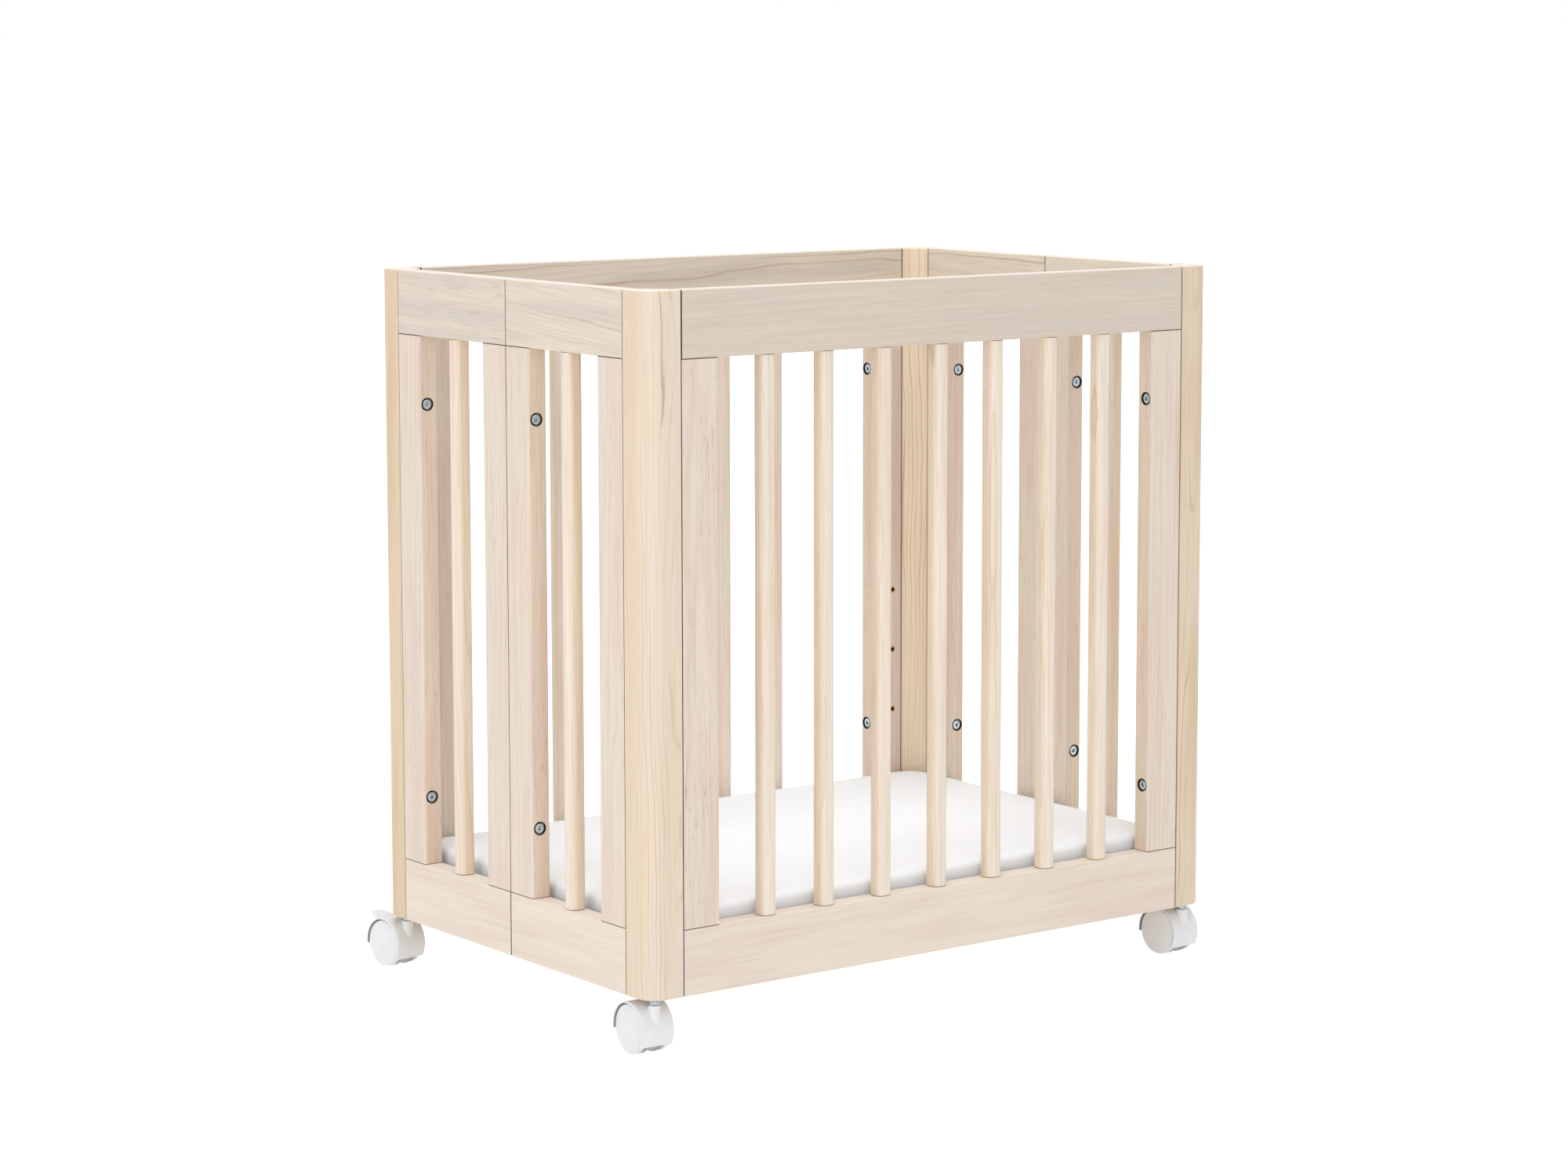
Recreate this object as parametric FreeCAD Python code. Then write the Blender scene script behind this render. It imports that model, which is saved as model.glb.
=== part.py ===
import FreeCAD, Part
import math
import os

# Wooden playpen on four hooded twin-wheel casters, with a mattress on a base board.
# Millimetres, +Z up, casters on Z = 0.  X runs along the long panels, Y from front to back.

# ------------------------------------------------------------------ frame
FRAME_LENGTH = 966.0       # over the outer faces of the end panels
FRAME_WIDTH = 656.0        # over the outer faces of the long panels
PANEL_HEIGHT = 914.0       # underside of the bottom rails to the top of the top rails
PANEL_THICK = 27.0         # rails, stiles and the legs of the corner posts
POST_LEG = 54.0            # width of a corner post along each panel
POST_ROUND = 27.0          # round outer corner of a post
RAIL_HEIGHT = 88.0
STILE_WIDTH = 56.0
SLAT_SIZE = 24.0
SLAT_ROUND = 9.0
LONG_SLAT_COUNT = 7        # slats in a long panel
HALF_SLAT_COUNT = 1        # slats in each half of an end panel
WOOD_EASE = 1.8            # rounded arrises of rails, stiles and posts
SEAM = 0.8                 # joint line between bolted panels and posts
OVER = 1.0                 # cutting tools start and end this far outside the piece

# ------------------------------------------------------------------ glued joints
STILE_TENON = (30.0, 9.0, 20.0)     # width, thickness, length
SLAT_TENON = (12.0, 12.0, 15.0)
TENON_PLAY = 0.1           # glue line each side
MORTISE_SPARE = 0.5        # mortise deeper than the tenon

# ------------------------------------------------------------------ panel bolts
BOLT_INSET = 11.5          # axis from the outer face of the panel
BOLT_LOW = 182.7           # above the underside of the panel
BOLT_HIGH = 731.0
BOLT_D = 8.0
BOLT_LEN = 70.0            # under the head
BOLT_HEAD_D = 16.0
BOLT_HEAD_H = 3.6
BOLT_CROWN_D = 13.0        # flat on top of the head
BOLT_KEY = 5.0             # across the flats of the hexagon socket
BOLT_SINK_D = 19.0         # counterbore
BOLT_SINK = 5.0
BOLT_PLAY = 0.3            # radial, in the stile
HEAD_RIM = 0.4             # upright rim of a screw head, part of its height
KEY_DEEP = 0.7             # hexagon socket, part of the height of the head
TIP_BEVEL = 0.8            # bevelled tips of screws and bolts
NUT_D = 12.0               # insert nut in the far piece
NUT_LEN = 20.0
THREAD_PLAY = 0.1          # radial, screw in its nut
INSERT_PLAY = 0.05         # radial, metal insert in wood

# ------------------------------------------------------------------ adjustable base
INSERT_X = 72.0            # insert column from the outer face of the end panel
INSERT_LOW = 203.0         # lowest insert in the stiles, above the underside
INSERT_PITCH = 93.0
INSERT_ROW_COUNT = 3
RAIL_INSERT_Z = 22.0       # insert of the lowest level, in the bottom rail
INSERT_D = 10.0
INSERT_LEN = 13.0
INSERT_SPARE = 1.5         # screw hole deeper than the insert
SCREW_D = 6.0
SCREW_LEN = 16.0
SCREW_HEAD_D = 10.5
SCREW_HEAD_H = 3.3
SCREW_CROWN_D = 6.0
SCREW_KEY = 4.0
SCREW_PLAY = 0.3           # radial, in brackets and board
SCREW_SINK = 3.5
BRACKET_W = 32.0
BRACKET_T = 2.5
BRACKET_REACH = 30.0
BRACKET_TAIL = 14.0        # bracket below its lower hole
BRACKET_BEND = 1.5         # inside radius
BRACKET_HOLE = 16.0        # board hole from the rail
WELD_NUT_AF = 10.0
WELD_NUT_H = 5.0
BOARD_Z = 44.5             # underside of the board above the underside of the rails
BOARD_T = 10.0
BOARD_GAP = 4.0            # board and mattress to the panels
BOARD_CUT = 28.0           # corners cut back at the posts
MATTRESS_T = 55.0
MATTRESS_CORNER = 40.0
MATTRESS_EDGE = 9.0

# ------------------------------------------------------------------ casters
WHEEL_R = 33.0
WHEEL_W = 17.2
WHEEL_EDGE = 2.6           # rounded shoulder of the tread, outside
WHEEL_BACK_EDGE = 1.0      # chamfer of the tread, inside
WHEEL_DOME = 1.2           # rise of the domed outer face
WEB_W = 13.0               # hood web between the two wheels
WHEEL_GAP = 0.4            # wheel to web
HOOD_CLEAR = 1.2           # tread to hood
HOOD_WALL = 2.0
HOOD_LIP = 0.4             # hood past the wheels, each side
HOOD_EDGE = 0.7            # chamfered rim
HOOD_REAR = 8.0            # rear edge, degrees below the axle
HOOD_FRONT = 33.0          # front edge, degrees below the axle
HUB_R = 8.0
AXLE_D = 6.0
AXLE_SINK = 2.0            # axle end short of the wheel's outer face
AXLE_FLOAT = 0.3           # axle end to the bottom of the wheel's bore
AXLE_PLAY = 0.08           # radial, wheel on axle
AXLE_PRESS = 0.02          # radial, axle in web
TRAIL = 26.7               # axle behind the swivel axis
STEM_INSET = 22.0          # swivel axis from both outer faces of the post
STEM_D = 8.0
STEM_PLAY = 0.06           # radial, hood on stem
STEM_IN_HOOD = 27.0
STEM_COLLAR_D = 15.0
STEM_COLLAR_H = 5.3
STEM_NECK_D = 9.0
STEM_UP = 35.0             # stem inside its socket
BOSS_D = 16.4
BOSS_UNDER = 1.6           # boss top below the crown of the hood
BOSS_ROUND = 1.2
COLLAR_GAP = 0.8           # boss to collar
SOCKET_D = 11.0
SOCKET_LEN = 38.0
SOCKET_FLANGE_D = 17.0
SOCKET_FLANGE_T = 1.0
POST_TO_HOOD = 7.8         # crown of the hood to the foot of the post
TURNS = {"front_left": -2.8, "back_left": 6.6, "front_right": 3.0, "back_right": 4.0}

# ------------------------------------------------------------------ brake lever (rear casters)
PIVOT_BACK = 10.0          # pivot behind the axle
PIVOT_UNDER = 8.7          # pivot below the crown of the hood
BRAKE_TURN = 10.0          # degrees from free to braked
LEVER_T = 6.8
LEVER_SLACK = 0.3          # lever to web and tab to slot, each side
BARREL_R = 3.6
BARREL_SLACK = 0.8         # radial, barrel to web
PIVOT_PIN_D = 3.0
PIVOT_PIN_LEN = 1.8
PIVOT_PLAY = 0.05
ARM_BACK = 12.0            # heel of the arm behind the pivot
ARM_TOE = 0.5              # heel of the arm below the pivot
TAB_W = 21.0
TAB_RISE = 6.8             # tab top above the pivot
TAB_FROM = 2.9             # tab start behind the pivot
TAB_LIFT = 2.8             # tab tip above the tab start
TAB_TO = 35.5              # tab tip behind the pivot
TAB_TIP = 2.0              # thickness at the tip
TAB_SLOPE = 30.4           # underside, degrees
TAB_ROUND = 3.0            # corners of the tip
SHOE_GAP = 0.5             # braked shoe to tread
SHOE_END = 16.6            # shoe end behind the pivot
SHOE_TOUCH = 63.0          # flat of the shoe touches the tread here, degrees above the axle, lever free
SLOT_AHEAD = 0.5           # slot in front of the tab
SLOT_END = 34.0            # hood slot end, degrees above the axle
WELL_BACK = 17.0           # web pocket behind the pivot
WELL_DEPTH = 6.5           # web pocket below the pivot

# ------------------------------------------------------------------ derived sizes
HOOD_R = WHEEL_R + HOOD_CLEAR + HOOD_WALL
BASE_Z = WHEEL_R + HOOD_R + POST_TO_HOOD
BOSS_RISE = HOOD_R - BOSS_UNDER
PIVOT_RISE = HOOD_R - PIVOT_UNDER
LONG_PANEL = FRAME_LENGTH - 2 * (POST_LEG + SEAM)
HALF_PANEL = (FRAME_WIDTH - 2 * (POST_LEG + SEAM) - SEAM) / 2
WHEEL_IN = WEB_W / 2 + WHEEL_GAP
WHEEL_OUT = WHEEL_IN + WHEEL_W
HOOD_HALF = WHEEL_OUT + HOOD_LIP
CORNERS = {"front_left": (-1, -1, 0), "front_right": (1, -1, 90),
           "back_right": (1, 1, 180), "back_left": (-1, 1, 270)}


def vec(x, y, z):
    return FreeCAD.Vector(x, y, z)


def block(xa, xb, ya, yb, za, zb):
    low = vec(min(xa, xb), min(ya, yb), min(za, zb))
    return Part.makeBox(abs(xb - xa), abs(yb - ya), abs(zb - za), low)


def rod(radius, start, direction, length):
    return Part.makeCylinder(radius, length, start, direction)


def moved(shape, place):
    copy = shape.copy()
    copy.Placement = place.multiply(copy.Placement)
    return copy


def turned(point, angle):
    return FreeCAD.Placement(point, FreeCAD.Rotation(vec(0, 0, 1), angle))


def upright_edges(shape):
    return [e for e in shape.Edges if abs(e.tangentAt(e.FirstParameter).z) > 0.99]


def hexagon(across, centre, direction, length):
    """Hexagonal prism: nuts and key sockets."""
    side = across / math.sqrt(3)
    points = [vec(side * math.cos(math.radians(60 * i)), side * math.sin(math.radians(60 * i)), 0)
              for i in range(7)]
    prism = Part.Face(Part.makePolygon(points)).extrude(vec(0, 0, length))
    prism.Placement = FreeCAD.Placement(centre, FreeCAD.Rotation(vec(0, 0, 1), direction))
    return prism


def key_screw(diameter, length, head_d, head_h, crown_d, key, seat, direction):
    """Screw with a bevelled head and hexagon key: the seat is the underside of its head, direction
    points to its tip, and crown_d is the flat on top of the head."""
    r, hr = diameter / 2, head_d / 2
    points = [vec(0, 0, length), vec(r - TIP_BEVEL, 0, length), vec(r, 0, length - TIP_BEVEL), vec(r, 0, 0),
              vec(hr, 0, 0), vec(hr, 0, -head_h * HEAD_RIM), vec(crown_d / 2, 0, -head_h),
              vec(0, 0, -head_h), vec(0, 0, length)]
    body = Part.Face(Part.makePolygon(points)).revolve(vec(0, 0, 0), vec(0, 0, 1), 360)
    body = body.cut(hexagon(key, vec(0, 0, -head_h), vec(0, 0, 1), head_h * KEY_DEEP))
    body.Placement = FreeCAD.Placement(seat, FreeCAD.Rotation(vec(0, 0, 1), direction))
    return body


def sleeve(outer, inner, start, direction, length):
    return rod(outer / 2, start, direction, length).cut(rod(inner / 2, start, direction, length))


# ------------------------------------------------------------------ drilling shared by wood and metal
def bolt_heights():
    return (BOLT_LOW, BOLT_HIGH)


def bolt_seat(face_x, way, z):
    """Underside of a panel bolt's head; the bolt runs along X towards way."""
    return vec(face_x + way * BOLT_SINK, BOLT_INSET, z)


def bolt_bore(face_x, way, z):
    """Counterbore and clearance hole through a stile."""
    seat = bolt_seat(face_x, way, z)
    sink = rod(BOLT_SINK_D / 2, seat, vec(-way, 0, 0), BOLT_SINK + OVER)
    return sink.fuse(rod(BOLT_D / 2 + BOLT_PLAY, seat, vec(way, 0, 0), STILE_WIDTH))


def nut_bore(start, direction):
    return rod(NUT_D / 2 + INSERT_PLAY, start - direction * 0.5 * SEAM, direction,
               NUT_LEN + 0.5 * SEAM + MORTISE_SPARE)


def panel_bolt(face_x, way, z):
    return key_screw(BOLT_D, BOLT_LEN, BOLT_HEAD_D, BOLT_HEAD_H, BOLT_CROWN_D, BOLT_KEY,
                     bolt_seat(face_x, way, z), vec(way, 0, 0))


def insert_nut(start, direction):
    return sleeve(NUT_D, BOLT_D + 2 * THREAD_PLAY, start, direction, NUT_LEN)


def insert_columns():
    """Insert columns of a long panel, from the panel's own left end."""
    first = INSERT_X - POST_LEG - SEAM
    return (first, LONG_PANEL - first)


def insert_heights():
    return [INSERT_LOW + INSERT_PITCH * i for i in range(INSERT_ROW_COUNT)]


def insert_bore(x, z):
    return rod(INSERT_D / 2 + INSERT_PLAY, vec(x, PANEL_THICK + OVER, z), vec(0, -1, 0),
               INSERT_LEN + OVER + INSERT_SPARE)


def base_insert(x, z):
    return sleeve(INSERT_D, SCREW_D + 2 * THREAD_PLAY, vec(x, PANEL_THICK, z), vec(0, -1, 0), INSERT_LEN)


# ------------------------------------------------------------------ wooden parts, in panel coordinates
# x along the panel from its left end, y from the outer face inwards, z from the underside.
def tenon(x, z, way, size, play=0.0, spare=0.0):
    """Tenon (or, with play, its mortise) centred at x, growing from z up or down."""
    width, thick, length = size
    mid = PANEL_THICK / 2
    return block(x - width / 2 - play, x + width / 2 + play, mid - thick / 2 - play, mid + thick / 2 + play,
                 z - way * (1 if spare else 0), z + way * (length + spare))


def upright(low_x, high_x, low_y, high_y, ease, size):
    """Stile or slat between the rails, with a tenon on each end."""
    foot, top = RAIL_HEIGHT, PANEL_HEIGHT - RAIL_HEIGHT
    body = block(low_x, high_x, low_y, high_y, foot, top)
    body = body.makeFillet(ease, upright_edges(body))
    mid = (low_x + high_x) / 2
    body = body.fuse(tenon(mid, foot, -1, size))
    return body.fuse(tenon(mid, top, 1, size))


def stile(end_x, inward, bolt, inserts):
    """Stile at the panel end end_x; bolt is 'head' or 'nut'."""
    face_x = end_x + inward * STILE_WIDTH
    body = upright(min(end_x, face_x), max(end_x, face_x), 0, PANEL_THICK, WOOD_EASE, STILE_TENON)
    for z in bolt_heights():
        if bolt == "head":
            body = body.cut(bolt_bore(face_x, -inward, z))
        else:
            body = body.cut(nut_bore(vec(end_x, BOLT_INSET, z), vec(inward, 0, 0)))
    for x in inserts:
        for z in insert_heights():
            body = body.cut(insert_bore(x, z))
    return body


def slat_centres(length, count):
    clear = (length - 2 * STILE_WIDTH - count * SLAT_SIZE) / (count + 1)
    first = STILE_WIDTH + clear + SLAT_SIZE / 2
    return [first + i * (clear + SLAT_SIZE) for i in range(count)]


def slats(length, count):
    low_y = (PANEL_THICK - SLAT_SIZE) / 2
    half = SLAT_SIZE / 2
    return [upright(x - half, x + half, low_y, low_y + SLAT_SIZE, SLAT_ROUND, SLAT_TENON)
            for x in slat_centres(length, count)]


def rail(length, count, upper, inserts):
    """Rail with mortises for two stiles and its slats."""
    low = PANEL_HEIGHT - RAIL_HEIGHT if upper else 0
    body = block(0, length, 0, PANEL_THICK, low, low + RAIL_HEIGHT)
    body = body.makeFillet(WOOD_EASE, body.Edges)
    mouth, way = (low, 1) if upper else (RAIL_HEIGHT, -1)
    for x in (STILE_WIDTH / 2, length - STILE_WIDTH / 2):
        body = body.cut(tenon(x, mouth, way, STILE_TENON, TENON_PLAY, MORTISE_SPARE))
    for x in slat_centres(length, count):
        body = body.cut(tenon(x, mouth, way, SLAT_TENON, TENON_PLAY, MORTISE_SPARE))
    for x in inserts:
        body = body.cut(insert_bore(x, RAIL_INSERT_Z))
    return body


def panel_wood(length, count, left_bolt, right_bolt, long_panel):
    """The glued-up panel: rails, stiles and slats as separate pieces."""
    columns = insert_columns() if long_panel else ()
    return {
        "top_rail": rail(length, count, True, ()),
        "bottom_rail": rail(length, count, False, columns),
        "left_stile": stile(0, 1, left_bolt, columns[:1]),
        "right_stile": stile(length, -1, right_bolt, columns[1:]),
        "slats": slats(length, count),
    }


def panel_metal(length, left_bolt, right_bolt):
    """Bolts and insert nuts of a panel's two stiles."""
    bolts, nuts = [], []
    for end_x, inward, kind in ((0, 1, left_bolt), (length, -1, right_bolt)):
        for z in bolt_heights():
            if kind == "head":
                bolts.append(panel_bolt(end_x + inward * STILE_WIDTH, -inward, z))
                nuts.append(insert_nut(vec(end_x - inward * SEAM, BOLT_INSET, z), vec(-inward, 0, 0)))
    return bolts, nuts


def post():
    """Corner post about its virtual outer corner: round outside, flat diagonal inside."""
    leg, thick, r = POST_LEG, PANEL_THICK, POST_ROUND
    mid = r * (1 - math.sqrt(0.5))
    outline = Part.makePolygon([vec(r, 0, 0), vec(leg, 0, 0), vec(leg, thick, 0), vec(thick, leg, 0),
                                vec(0, leg, 0), vec(0, r, 0)])
    curve = Part.Arc(vec(0, r, 0), vec(mid, mid, 0), vec(r, 0, 0)).toShape()
    body = Part.Face(Part.Wire(outline.Edges + [curve])).extrude(vec(0, 0, PANEL_HEIGHT))
    sharp = [e for e in upright_edges(body) if e.Vertexes[0].Point.x + e.Vertexes[0].Point.y > leg - OVER]
    body = body.makeFillet(WOOD_EASE, sharp)
    ends = [e for f in body.Faces if abs(f.normalAt(0, 0).z) > 0.99 for e in f.Edges]
    body = body.makeFillet(WOOD_EASE, ends)
    for z in bolt_heights():
        body = body.cut(nut_bore(vec(leg, BOLT_INSET, z), vec(-1, 0, 0)))
        body = body.cut(nut_bore(vec(BOLT_INSET, leg, z), vec(0, -1, 0)))
    inset = vec(STEM_INSET, STEM_INSET, 0)
    body = body.cut(rod(SOCKET_D / 2 + INSERT_PLAY, inset, vec(0, 0, 1), SOCKET_LEN + MORTISE_SPARE))
    return body.cut(rod(SOCKET_FLANGE_D / 2 + INSERT_PLAY, inset, vec(0, 0, 1), SOCKET_FLANGE_T))


# ------------------------------------------------------------------ base and mattress
def bend_edges(shape, y, z):
    """Edges along X that pass through (y, z)."""
    return [e for e in shape.Edges if abs(e.tangentAt(e.FirstParameter).x) > 0.99
            and abs(e.Vertexes[0].Point.y - y) < 0.01 and abs(e.Vertexes[0].Point.z - z) < 0.01]


def bracket(x):
    """Bent shelf angle screwed to the bottom rail, with a weld nut under its foot."""
    t, wall, foot = BRACKET_T, PANEL_THICK, BOARD_Z
    low = RAIL_INSERT_Z - BRACKET_TAIL
    tip = wall + BRACKET_REACH
    ring = [(wall, low), (wall, foot), (tip, foot), (tip, foot - t), (wall + t, foot - t), (wall + t, low)]
    section = Part.makePolygon([vec(x - BRACKET_W / 2, y, z) for y, z in ring + ring[:1]])
    body = Part.Face(section).extrude(vec(BRACKET_W, 0, 0))
    body = body.makeFillet(BRACKET_BEND + t, bend_edges(body, wall, foot))
    body = body.makeFillet(BRACKET_BEND, bend_edges(body, wall + t, foot - t))
    nut_at = vec(x, wall + BRACKET_HOLE, foot - t - WELD_NUT_H)
    body = body.fuse(hexagon(WELD_NUT_AF, nut_at, vec(0, 0, 1), WELD_NUT_H))
    body = body.cut(rod(SCREW_D / 2 + THREAD_PLAY, nut_at - vec(0, 0, OVER), vec(0, 0, 1),
                        WELD_NUT_H + t + 2 * OVER))
    return body.cut(rod(SCREW_D / 2 + SCREW_PLAY, vec(x, wall - OVER, RAIL_INSERT_Z), vec(0, 1, 0),
                        t + 2 * OVER))


def bracket_screws(x):
    rail_seat = vec(x, PANEL_THICK + BRACKET_T, RAIL_INSERT_Z)
    board_seat = vec(x, PANEL_THICK + BRACKET_HOLE, BOARD_Z + BOARD_T - SCREW_SINK)
    return [key_screw(SCREW_D, SCREW_LEN, SCREW_HEAD_D, SCREW_HEAD_H, SCREW_CROWN_D, SCREW_KEY, seat, way)
            for seat, way in ((rail_seat, vec(0, -1, 0)), (board_seat, vec(0, 0, -1)))]


def board_screw_points():
    x = FRAME_LENGTH / 2 - INSERT_X
    y = FRAME_WIDTH / 2 - PANEL_THICK - BRACKET_HOLE
    return [(sx * x, sy * y) for sx in (-1, 1) for sy in (-1, 1)]


def inner_half(gap):
    return (FRAME_LENGTH / 2 - PANEL_THICK - gap, FRAME_WIDTH / 2 - PANEL_THICK - gap)


def mattress_board():
    """Plywood base with its corners cut back and four sunk screw holes."""
    hx, hy = inner_half(BOARD_GAP)
    c, z = BOARD_CUT, BASE_Z + BOARD_Z
    ring = [(c - hx, -hy), (hx - c, -hy), (hx, c - hy), (hx, hy - c),
            (hx - c, hy), (c - hx, hy), (-hx, hy - c), (-hx, c - hy), (c - hx, -hy)]
    body = Part.Face(Part.makePolygon([vec(x, y, z) for x, y in ring])).extrude(vec(0, 0, BOARD_T))
    for x, y in board_screw_points():
        body = body.cut(rod(SCREW_D / 2 + SCREW_PLAY, vec(x, y, z - OVER), vec(0, 0, 1), BOARD_T + 2 * OVER))
        body = body.cut(rod(SCREW_HEAD_D / 2 + 2 * SCREW_PLAY, vec(x, y, z + BOARD_T - SCREW_SINK),
                            vec(0, 0, 1), SCREW_SINK + OVER))
    return body


def mattress():
    hx, hy = inner_half(BOARD_GAP)
    low = BASE_Z + BOARD_Z + BOARD_T
    body = block(-hx, hx, -hy, hy, low, low + MATTRESS_T)
    body = body.makeFillet(MATTRESS_CORNER, upright_edges(body))
    rims = [e for e in body.Edges if abs(e.Vertexes[0].Point.z - e.Vertexes[-1].Point.z) < 0.01]
    return body.makeFillet(MATTRESS_EDGE, rims)


# ------------------------------------------------------------------ casters, about the axle's centre
# x along the axle, y to the rear, z up.
def axle_rod(radius, low_x, high_x, y=0.0, z=0.0):
    return rod(radius, vec(min(low_x, high_x), y, z), vec(1, 0, 0), abs(high_x - low_x))


def side_prism(points, half_width):
    """Prism across the caster from (y, z) points."""
    ring = [vec(-half_width, y, z) for y, z in points]
    return Part.Face(Part.makePolygon(ring + ring[:1])).extrude(vec(2 * half_width, 0, 0))


def polar(radius, degrees):
    return (radius * math.cos(math.radians(degrees)), radius * math.sin(math.radians(degrees)))


def hood_sector():
    """Full-width sector of the hood's drum, from its rear edge over the top to its front edge."""
    rear, front = -HOOD_REAR, 180 + HOOD_FRONT
    a, m, b = [vec(-HOOD_HALF, *polar(HOOD_R, d)) for d in (rear, (rear + front) / 2, front)]
    centre = vec(-HOOD_HALF, 0, 0)
    edges = [Part.Arc(a, m, b).toShape(), Part.LineSegment(b, centre).toShape(),
             Part.LineSegment(centre, a).toShape()]
    return Part.Face(Part.Wire(edges)).extrude(vec(2 * HOOD_HALF, 0, 0))


def swivel_boss():
    boss = rod(BOSS_D / 2, vec(0, -TRAIL, 0), vec(0, 0, 1), BOSS_RISE)
    rim = [e for e in boss.Edges if abs(e.BoundBox.ZMin - BOSS_RISE) < 0.01 and e.BoundBox.ZLength < 0.01]
    return boss.makeFillet(BOSS_ROUND, rim)


def brake_pocket():
    """Slot in the hood for the tab, and in the web the lever's well, barrel seat and pin holes."""
    y, z, far = PIVOT_BACK, PIVOT_RISE, 2 * HOOD_R
    half = LEVER_T / 2 + LEVER_SLACK
    front = y + TAB_FROM - SLOT_AHEAD
    seat = axle_rod(BARREL_R + BARREL_SLACK, -half, half, y, z)
    well = block(-half, half, front, y + WELL_BACK, z - WELL_DEPTH, far)
    sill = polar(WHEEL_R, SLOT_END)
    slot = side_prism([(front, sill[1]), sill, polar(far, SLOT_END), (far, far), (front, far)],
                      TAB_W / 2 + LEVER_SLACK)
    slot = slot.cut(axle_rod(WHEEL_R, -HOOD_HALF, HOOD_HALF))
    pins = axle_rod(PIVOT_PIN_D / 2 + PIVOT_PLAY, -half - PIVOT_PIN_LEN, half + PIVOT_PIN_LEN, y, z)
    return [seat, well, slot, pins]


def hood(braked):
    body = hood_sector().fuse(swivel_boss())
    for side in (-1, 1):
        body = body.cut(axle_rod(WHEEL_R + HOOD_CLEAR, side * WEB_W / 2, side * (HOOD_HALF + OVER)))
    body = body.fuse(axle_rod(HUB_R, -WEB_W / 2, WEB_W / 2))
    body = body.cut(axle_rod(AXLE_D / 2 + AXLE_PRESS, -WEB_W, WEB_W))
    body = body.cut(rod(STEM_D / 2 + STEM_PLAY, vec(0, -TRAIL, BOSS_RISE + OVER), vec(0, 0, -1),
                        STEM_IN_HOOD + OVER + MORTISE_SPARE))
    if braked:
        for tool in brake_pocket():
            body = body.cut(tool)
    rims = [e for e in body.Edges if isinstance(e.Curve, Part.Circle) and abs(e.Curve.Radius - HOOD_R) < 0.01
            and abs(abs(e.CenterOfMass.x) - HOOD_HALF) < 0.01]
    return body.makeChamfer(HOOD_EDGE, rims)


def wheel(side):
    """Caster wheel with a domed outer face, a rounded shoulder and a blind hub bore."""
    r, e, back = WHEEL_R, WHEEL_EDGE, WHEEL_BACK_EDGE
    rim = WHEEL_OUT - WHEEL_DOME
    dome_r = ((r - e) ** 2 + WHEEL_DOME ** 2) / (2 * WHEEL_DOME)
    half = (r - e) / 2
    crown = vec(WHEEL_OUT - dome_r + math.sqrt(dome_r ** 2 - half ** 2), 0, half)
    bend = math.sqrt(0.5)
    a, b = vec(rim - e, 0, r), vec(rim, 0, r - e)
    shoulder = Part.Arc(a, vec(rim - e + e * bend, 0, r - e + e * bend), b)
    dome = Part.Arc(b, crown, vec(WHEEL_OUT, 0, 0))
    points = [vec(WHEEL_OUT, 0, 0), vec(WHEEL_IN, 0, 0), vec(WHEEL_IN, 0, r - back),
              vec(WHEEL_IN + back, 0, r), a]
    profile = Part.Wire([shoulder.toShape(), dome.toShape()] + Part.makePolygon(points).Edges)
    body = Part.Face(profile).revolve(vec(0, 0, 0), vec(1, 0, 0), 360)
    body = body.cut(axle_rod(AXLE_D / 2 + AXLE_PLAY, 0, WHEEL_OUT - AXLE_SINK + AXLE_FLOAT))
    if side > 0:
        return body
    return moved(body, turned(vec(0, 0, 0), 180))


def axle():
    half = WHEEL_OUT - AXLE_SINK
    return axle_rod(AXLE_D / 2, -half, half)


def stem():
    """Swivel pin, collar, neck and socket pin, about the axle's height."""
    z = BOSS_RISE + COLLAR_GAP
    marks = [(STEM_D, BOSS_RISE - STEM_IN_HOOD, z), (STEM_COLLAR_D, z, z + STEM_COLLAR_H),
             (STEM_NECK_D, z + STEM_COLLAR_H, BASE_Z - WHEEL_R),
             (STEM_D, BASE_Z - WHEEL_R, BASE_Z - WHEEL_R + STEM_UP)]
    profile = [vec(0, 0, marks[0][1])]
    for diameter, low, high in marks:
        profile += [vec(diameter / 2, 0, low), vec(diameter / 2, 0, high)]
    profile += [vec(0, 0, marks[-1][2]), profile[0]]
    body = Part.Face(Part.makePolygon(profile)).revolve(vec(0, 0, 0), vec(0, 0, 1), 360)
    body.translate(vec(0, 0, WHEEL_R))
    return body


def socket():
    """Flanged sleeve pressed into the foot of a post."""
    foot = vec(0, 0, BASE_Z)
    body = rod(SOCKET_D / 2, foot, vec(0, 0, 1), SOCKET_LEN)
    body = body.fuse(rod(SOCKET_FLANGE_D / 2, foot, vec(0, 0, 1), SOCKET_FLANGE_T))
    return body.cut(rod(STEM_D / 2 + THREAD_PLAY, foot, vec(0, 0, 1), STEM_UP + MORTISE_SPARE))


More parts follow.
